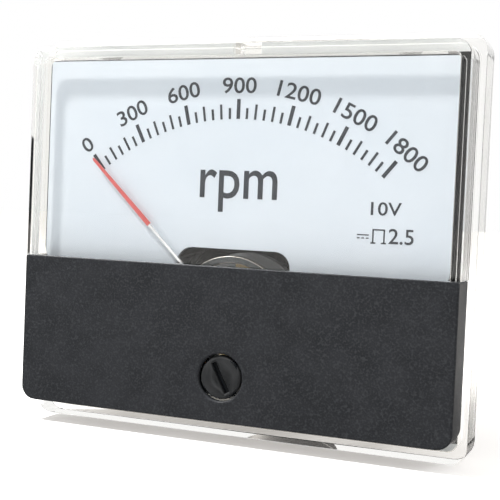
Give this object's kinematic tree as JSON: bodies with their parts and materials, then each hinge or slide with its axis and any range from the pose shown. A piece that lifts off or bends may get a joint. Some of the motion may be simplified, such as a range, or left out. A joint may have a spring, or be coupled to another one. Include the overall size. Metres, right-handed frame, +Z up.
{
  "type": "panel speed indicator",
  "caption": "Moving-coil speed indicator: clear two-step front over a black strip, round rear housing with studs, terminals and a turning calibration shaft.",
  "frame": {"origin": "centre of the four mounting studs, on the plane where the front frame meets the panel", "axes": "+Z up the dial, +Y out of the back along the studs, +X to the right seen from the front"},
  "size_m": [0.07, 0.0487, 0.06],
  "materials": {
    "clear_plastic": "clear polished moulding",
    "black_moulding": "glossy black phenolic",
    "strip_plastic": "fine matt charcoal",
    "frame_white": "satin white moulding",
    "dial_white": "smooth white enamel",
    "pointer_red": "painted red",
    "nickel": "bright nickel plate",
    "brass": "turned brass",
    "steel": "plain steel",
    "iron": "grey plated iron",
    "magnet": "sintered dark grey",
    "aluminium": "plain sheet",
    "copper": "enamelled copper",
    "bronze": "spring bronze",
    "board_brown": "phenolic paper and gilt contact",
    "resistor_tan": "lacquered",
    "wire_sleeve": "plastic sleeve"
  },
  "bodies": {
    "case": {"base_housing": "black_moulding", "inner_frame": "frame_white", "front_cover": "clear_plastic", "lower_strip": "strip_plastic", "dial_plate": "dial_white", "dial_screws": "nickel", "mounting_studs": "nickel", "rear_cap": "black_moulding", "terminal_studs": "brass", "terminal_washers": "nickel", "terminal_nuts": "brass", "solder_tags": "nickel", "pot_case": "steel", "pot_bushing": "nickel", "pot_washer": "nickel", "pot_nut": "nickel", "pot_tags": "nickel", "movement_frame": "iron", "frame_screws": "nickel", "frame_pillars": "brass", "yoke_ring": "iron", "core_magnet": "magnet", "core_straps": "brass", "front_bridge": "brass", "rear_bridge": "brass", "bridge_screws": "steel", "jewel_screws": "brass", "pointer_stops": "brass", "front_hairspring": "bronze", "rear_hairspring": "bronze", "series_resistor": "resistor_tan", "lead_wires": "wire_sleeve"},
    "moving_coil": {"pointer": "pointer_red", "balance_weights": "steel", "coil_former": "aluminium", "coil_winding": "copper", "pivot_staffs": "steel"},
    "zero_adjuster": {"zero_screw": "black_moulding", "zero_clip": "steel"},
    "zero_arm": {"zero_lever": "brass"},
    "control_shaft": {"pot_shaft": "nickel", "pot_wiper": "board_brown"}
  },
  "joints": [
    {"name": "pointer_swing", "type": "hinge", "parent": "case", "child": "moving_coil", "pos_m": [0, 0, -0.0116], "axis": [0, 1, 0], "range_deg": [0, 92], "stiffness_Nm_per_rad": 0.00002, "deforming": ["front_hairspring", "rear_hairspring"]},
    {"name": "zero_adjust", "type": "hinge", "parent": "case", "child": "zero_adjuster", "pos_m": [0, 0, -0.0202], "axis": [0, 1, 0], "range_deg": [-40, 40]},
    {"name": "zero_arm_swing", "type": "hinge", "parent": "case", "child": "zero_arm", "pos_m": [0, 0, -0.0116], "axis": [0, 1, 0], "range_deg": [-4.5, 4.5]},
    {"name": "control_turn", "type": "hinge", "parent": "case", "child": "control_shaft", "pos_m": [0, 0, 0.0124], "axis": [0, 1, 0], "range_deg": [-150, 150]}
  ],
  "couplings": [
    {"joint": "zero_arm_swing", "follows": "zero_adjust", "ratio": -0.11}
  ]
}
